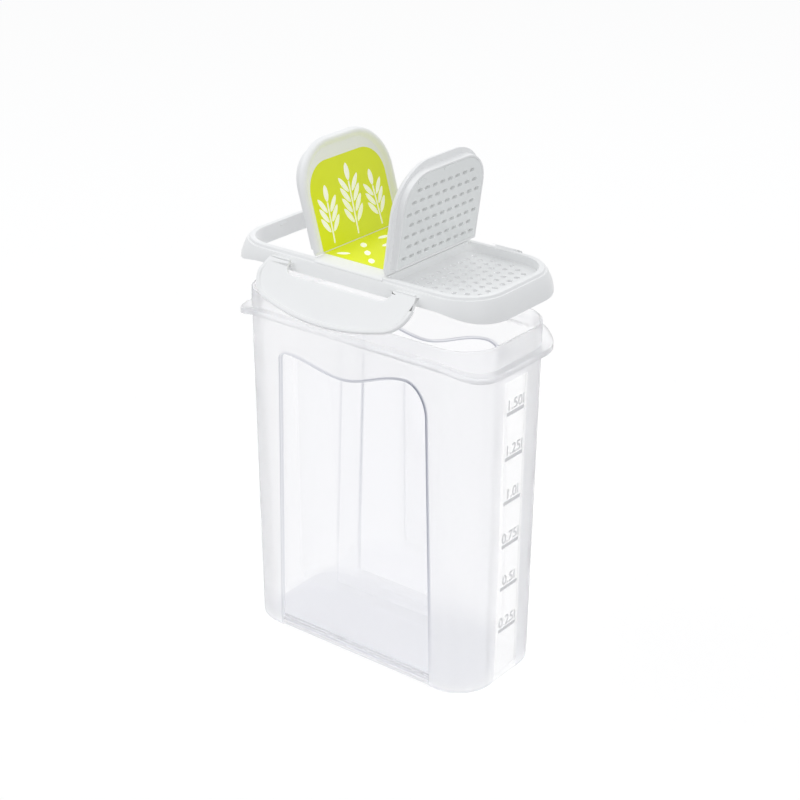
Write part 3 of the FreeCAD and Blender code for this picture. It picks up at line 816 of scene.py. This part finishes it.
# Shaker insert. A separate slotted plate, pressed into the shaker flap's rim and
# held by two small tabs. It is glossier than the lid.
glossy_white = white_polypropylene("polypropylene white, polished moulding", ("#DDE0DF", "#E4E7E6"),
                                   0.24, 0.008)
for name in ("shaker_insert", "insert_clips"):
    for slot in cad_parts[name].material_slots:
        slot.material = glossy_white

# Labels. Lime green film, moulded into the flat fields of both flaps and the
# bridge, with a white print: three ears of grain on each flap, and seeds on the
# bridge.
label_near = hinge_x + 0.7
label_section = (66.6, 29.6, 16.0)
label_thickness = 0.12
print_height = 0.04

# Label film: half gloss, with a tone that drifts over 25 mm and a slight peel.
label_film = new_material("in-mould label film, lime green")
film_place = add(label_film, "ShaderNodeTexCoord").outputs["Object"]
film_tone = add(label_film, "ShaderNodeTexNoise", {"Vector": film_place, "Scale": 40.0, "Detail": 2.0})
film_colour = add(label_film, "ShaderNodeMix", {"Factor": film_tone.outputs["Fac"], 6: linear("#E7F014"),
                                                7: linear("#ECF41C")}, data_type="RGBA")
film_peel = add(label_film, "ShaderNodeBump", {"Height": film_tone.outputs["Fac"], "Strength": 0.1,
                                               "Distance": 0.0001})
film_body = add(label_film, "ShaderNodeBsdfPrincipled", {"Base Color": film_colour.outputs[2],
                                                         "Roughness": 0.32, "IOR": 1.5,
                                                         "Normal": film_peel.outputs[0]})
add(label_film, "ShaderNodeOutputMaterial", {"Surface": film_body.outputs[0]})

# Screen print: opaque, matter than the film, with a cover that varies over 0.8 mm,
# and a faint painted glow that keeps it bright in shade.
white_print = new_material("screen print, warm white")
print_place = add(white_print, "ShaderNodeTexCoord").outputs["Object"]
print_cover = add(white_print, "ShaderNodeTexNoise", {"Vector": print_place, "Scale": 1200.0, "Detail": 2.0})
print_colour = add(white_print, "ShaderNodeMix", {"Factor": print_cover.outputs["Fac"], 6: linear("#FBFCF4"),
                                                  7: linear("#FFFFFC")}, data_type="RGBA")
# The white emission is a painted glow.
print_body = add(white_print, "ShaderNodeBsdfPrincipled", {"Base Color": print_colour.outputs[2],
                                                           "Emission Color": linear("#FFFFFF"),
                                                           "Emission Strength": 0.12,
                                                           "Roughness": 0.4, "IOR": 1.5})
add(white_print, "ShaderNodeOutputMaterial", {"Surface": print_body.outputs[0]})


def sheet(points, level, thickness):
    """A thin closed sheet over a flat outline."""
    return skin([[(x, y, level) for x, y in points], [(x, y, level + thickness) for x, y in points]],
                caps=(True, True))


def leaf(x, y, length, width, angle):
    """Outline of one grain, pointed at both ends."""
    c, s = math.cos(angle), math.sin(angle)
    points = []
    for i in range(24):
        a = 2 * math.pi * i / 24
        u = length / 2 * math.cos(a)
        v = width / 2 * math.sin(a) * abs(math.sin(a)) ** 0.4
        points.append((x + u * c - v * s, y + u * s + v * c))
    return points


def ear_of_grain(x, y, angle, pairs, grain):
    """Outlines of a stem with paired grains and one at the tip, none of them touching."""
    c, s = math.cos(angle), math.sin(angle)
    def at(u, v):
        return x + u * c - v * s, y + u * s + v * c
    spread = math.radians(36)
    pair_step = 0.52
    foot = grain * 0.6
    top = foot + pairs * grain * pair_step
    half = grain * 0.05
    stem = [at(0, -half), at(top, -half), at(top, half), at(0, half)]
    shapes = [stem, leaf(*at(top + grain * 0.48, 0), grain * 0.9, grain * 0.36, angle)]
    for i in range(pairs):
        for side in (-1, 1):
            u = foot + i * grain * pair_step
            shapes.append(leaf(*at(u + grain * 0.4, side * grain * 0.42), grain, grain * 0.29,
                               angle + side * spread))
    return shapes


label_level = bridge_top
flap_label = sheet(flap_outline(label_near, *label_section), label_level, label_thickness)
ear_foot_x = 25.0
ears = []
for y, degrees, pairs, grain in ((-1.0, 2, 4, 10.2), (18.5, -3, 3, 9.6), (-20.0, 3, 3, 9.6)):
    ears += ear_of_grain(ear_foot_x, y, math.radians(degrees), pairs, grain)
ear_prints = [sheet(points, label_level + label_thickness, print_height) for points in ears]
bridge_label_half = hinge_x - 0.7
bridge_shape = [(-bridge_label_half, -label_section[1]), (bridge_label_half, -label_section[1]),
                (bridge_label_half, label_section[1]), (-bridge_label_half, label_section[1])]
bridge_label = sheet(bridge_shape, label_level, label_thickness)
seed_columns, seed_rows = 4, 7
seeds = []
for i in range(seed_columns * seed_rows):
    row, column = divmod(i, seed_columns)
    if (row + column) % 2 == 0:
        seeds.append(leaf(-13.5 + 9 * column, -24 + 8 * row, 7.0, 3.3, math.radians(35 + 50 * (i % 3))))
seed_prints = [sheet(points, label_level + label_thickness, print_height) for points in seeds]

for name, body, shapes, material in (
        ("pour_flap_label_film", "pour_flap", [opened(flap_label, -1, pour_angle)], label_film),
        ("pour_flap_print", "pour_flap", [opened(p, -1, pour_angle) for p in ear_prints], white_print),
        ("shaker_flap_label_film", "shaker_flap", [opened(flap_label, 1, shaker_angle)], label_film),
        ("shaker_flap_print", "shaker_flap", [opened(p, 1, shaker_angle) for p in ear_prints], white_print),
        ("bridge_label_film", "lid", [raised(bridge_label)], label_film),
        ("bridge_print", "lid", [raised(p) for p in seed_prints], white_print)):
    piece = build(name, shapes, material)
    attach(piece, body)
    if name.endswith("film"):
        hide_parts(name.removesuffix("_film"))

# Wings. Crescent clips in the same white moulding, each on two short films. A
# low lip runs round the free edge, and a rib on the inside snaps under the collar.
wing_depth = 28.4
wing_root = 46.5
wing_wide = 48.8
wing_wide_depth = 8.0
wing_corner = (36.5, 23.0)
wing_edge = 0.7
gap_half = 33.0
gap_depth = 7.2
gap_corner = 5.0
wing_lip = 0.8
lip_start = 3.0
lip_run = 6.0
bulge_inset = 2.4
bulge_drop = 0.6
wing_side_steps = 16
wing_foot_steps = 40
gap_turn_steps = 10
wing_turn = 42.0


def through(a, b, c, steps):
    """Points on the circle through three points, without the last."""
    (ax, ay), (bx, by), (cx, cy) = a, b, c
    d = 2 * (ax * (by - cy) + bx * (cy - ay) + cx * (ay - by))
    a2 = ax ** 2 + ay ** 2
    b2 = bx ** 2 + by ** 2
    c2 = cx ** 2 + cy ** 2
    ux = (a2 * (by - cy) + b2 * (cy - ay) + c2 * (ay - by)) / d
    uy = (a2 * (cx - bx) + b2 * (ax - cx) + c2 * (bx - ax)) / d
    r = math.hypot(ax - ux, ay - uy)
    start, end = math.atan2(ay - uy, ax - ux), math.atan2(cy - uy, cx - ux)
    middle = math.atan2(by - uy, bx - ux)
    turn = (end - start) % (2 * math.pi)
    if (middle - start) % (2 * math.pi) > turn:
        turn -= 2 * math.pi
    return [(ux + r * math.cos(start + turn * i / steps), uy + r * math.sin(start + turn * i / steps))
            for i in range(steps)]


def wing_points():
    """Outline in x and depth below the hinge, and 1 where the free edge has its lip."""
    cx, cd = wing_corner
    bulge = (wing_wide - bulge_inset, (wing_wide_depth + cd) / 2 + bulge_drop)
    right = [(wing_root, wing_edge)]
    right += through((wing_wide, wing_wide_depth), bulge, wing_corner, wing_side_steps)
    bottom = through(wing_corner, (0, wing_depth), (-cx, cd), wing_foot_steps)
    left = [(-x, d) for x, d in reversed(right)]
    free = right + bottom + [(-cx, cd)] + left
    g, h, r = gap_half, gap_depth, gap_corner
    turns = [math.radians(90 * i / gap_turn_steps) for i in range(gap_turn_steps + 1)]
    turn = [(-g + r - r * math.cos(a), h - r + r * math.sin(a)) for a in turns]
    gap = [(-g, wing_edge)] + turn + [(-x, d) for x, d in reversed(turn)] + [(g, wing_edge)]
    lipped = [min(max((d - lip_start) / lip_run, 0.0), 1.0) for _, d in free] + [0.0] * len(gap)
    return free + gap, lipped


def wing_shells():
    points, lipped = wing_points()
    t = wing_thickness
    profile = ((0.5, 0.0, 0.0), (0.15, 0.1, 0.0), (0.0, 0.4, 0.0), (0.0, t - 0.5, 1.0), (0.1, t - 0.15, 1.0),
               (0.4, t, 1.0), (1.5, t, 1.0), (1.9, t, 0.85), (2.3, t, 0.3), (2.7, t, 0.0))
    flipped = [(x, -d) for x, d in points]
    loops = []
    for inset, out, share in profile:
        moved = grow(flipped, inset)
        loops.append([(x, -(wing_axis_y - t / 2 + out + wing_lip * share * f), wing_axis_z + up)
                      for (x, up), f in zip(moved, lipped)])
    return [skin(loops), fill([loops[0]]), fill([loops[-1]])]


def dropped(shell_of_points, side):
    """Wing from hanging closed to its shown droop, at the front or the rear."""
    vertices, faces = shell_of_points
    c, s = math.cos(math.radians(wing_turn)), math.sin(math.radians(wing_turn))
    moved = []
    for x, y, z in vertices:
        dy, dz = y + wing_axis_y, z - wing_axis_z
        new_y = -wing_axis_y + dy * c + dz * s
        new_z = wing_axis_z - dy * s + dz * c
        moved.append((x, new_y if side < 0 else -new_y, new_z + lift))
    return moved, faces


rib_top = collar_low_top + collar_rise - collar_thickness - 0.3
rib_half = 29.0
rib_height = 1.0
rib_reach = 1.2
rib = soft_block((-rib_half, -wing_axis_y, rib_top - rib_height),
                 (rib_half, -wing_axis_y + wing_thickness / 2 + rib_reach, rib_top), 0.35)
for side, name in ((-1, "front_wing"), (1, "rear_wing")):
    wing = build(name + "_moulding", [dropped(s, side) for s in wing_shells() + [rib]], satin_white)
    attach(wing, name)
    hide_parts(name)

# Studio: a pale floor that keeps the object's shadow, white surroundings, soft
# lamps, and the camera at the photograph's angle.
floor_half = 6.0
floor_mesh = bpy.data.meshes.new("floor")
floor_mesh.from_pydata([(-floor_half, -floor_half, 0), (floor_half, -floor_half, 0),
                        (floor_half, floor_half, 0), (-floor_half, floor_half, 0)], [], [(0, 1, 2, 3)])
floor = bpy.data.objects.new("floor", floor_mesh)
bpy.context.collection.objects.link(floor)


def seen_rays(holder):
    """1 for rays that show the surroundings: straight, mirrored or through glass."""
    path = add(holder, "ShaderNodeLightPath").outputs
    either = calculate(holder, "MAXIMUM", path["Is Camera Ray"], path["Is Glossy Ray"])
    return calculate(holder, "MAXIMUM", either, path["Is Transmission Ray"])


# Paper: plain and matt, bright where it is seen and grey where it only lights
# the object, so that the pale shadow stays.
paper_shown = 0.8
paper_brightness = 1.12
paper = new_material("matt white paper sweep")
paper_share = calculate(paper, "MULTIPLY", seen_rays(paper), paper_shown)
paper_body = add(paper, "ShaderNodeBsdfDiffuse", {"Color": linear("#CFCFCF")})
paper_glow = add(paper, "ShaderNodeEmission", {"Color": linear("#FFFFFF"), "Strength": paper_brightness})
paper_mix = add(paper, "ShaderNodeMixShader", {0: paper_share, 1: paper_body.outputs[0],
                                               2: paper_glow.outputs[0]})
add(paper, "ShaderNodeOutputMaterial", {"Surface": paper_mix.outputs[0]})
floor_mesh.materials.append(paper)

world = bpy.data.worlds.new("studio surroundings")
bpy.context.scene.world = world
world.use_nodes = True
world.node_tree.nodes.clear()
room = add(world, "ShaderNodeBackground", {"Color": linear("#F2F4F8"), "Strength": 0.55})
white = add(world, "ShaderNodeBackground", {"Color": linear("#FFFFFF"), "Strength": 1.0})
around = add(world, "ShaderNodeMixShader", {0: seen_rays(world), 1: room.outputs[0], 2: white.outputs[0]})
add(world, "ShaderNodeOutputWorld", {"Surface": around.outputs[0]})

target = Vector((0.0, 0.0, 0.14))
lamps = (("key", (-0.6, -0.45, 1.3), 0.8, 6.2), ("fill", (1.1, -0.6, 0.6), 0.9, 2.8),
         ("back", (0.1, 0.9, 1.3), 0.9, 4.6))
for name, place, size, power in lamps:
    lamp_data = bpy.data.lights.new(name, "AREA")
    lamp_data.size = size
    lamp_data.energy = power
    lamp = bpy.data.objects.new(name, lamp_data)
    lamp.location = place
    lamp.rotation_euler = (target - lamp.location).to_track_quat("-Z", "Y").to_euler()
    bpy.context.collection.objects.link(lamp)

azimuth = math.radians(37.901)
elevation = math.radians(24.25)
roll = math.radians(0.308)
camera_place = (0.55894, -0.71247, 0.54802)
camera_lens = 84.89
right = Vector((math.cos(azimuth), math.sin(azimuth), 0))
back = Vector((math.cos(elevation) * math.sin(azimuth), -math.cos(elevation) * math.cos(azimuth),
               math.sin(elevation)))
up = back.cross(right)
rolled_right = right * math.cos(roll) + up * math.sin(roll)
rolled_up = up * math.cos(roll) - right * math.sin(roll)
camera_data = bpy.data.cameras.new("camera")
camera_data.sensor_width = 36.0
camera_data.lens = camera_lens
camera = bpy.data.objects.new("camera", camera_data)
turn = Matrix((rolled_right, rolled_up, back)).transposed().to_4x4()
camera.matrix_world = Matrix.Translation(camera_place) @ turn
bpy.context.collection.objects.link(camera)
bpy.context.scene.camera = camera
bpy.context.scene.view_settings.view_transform = "Standard"
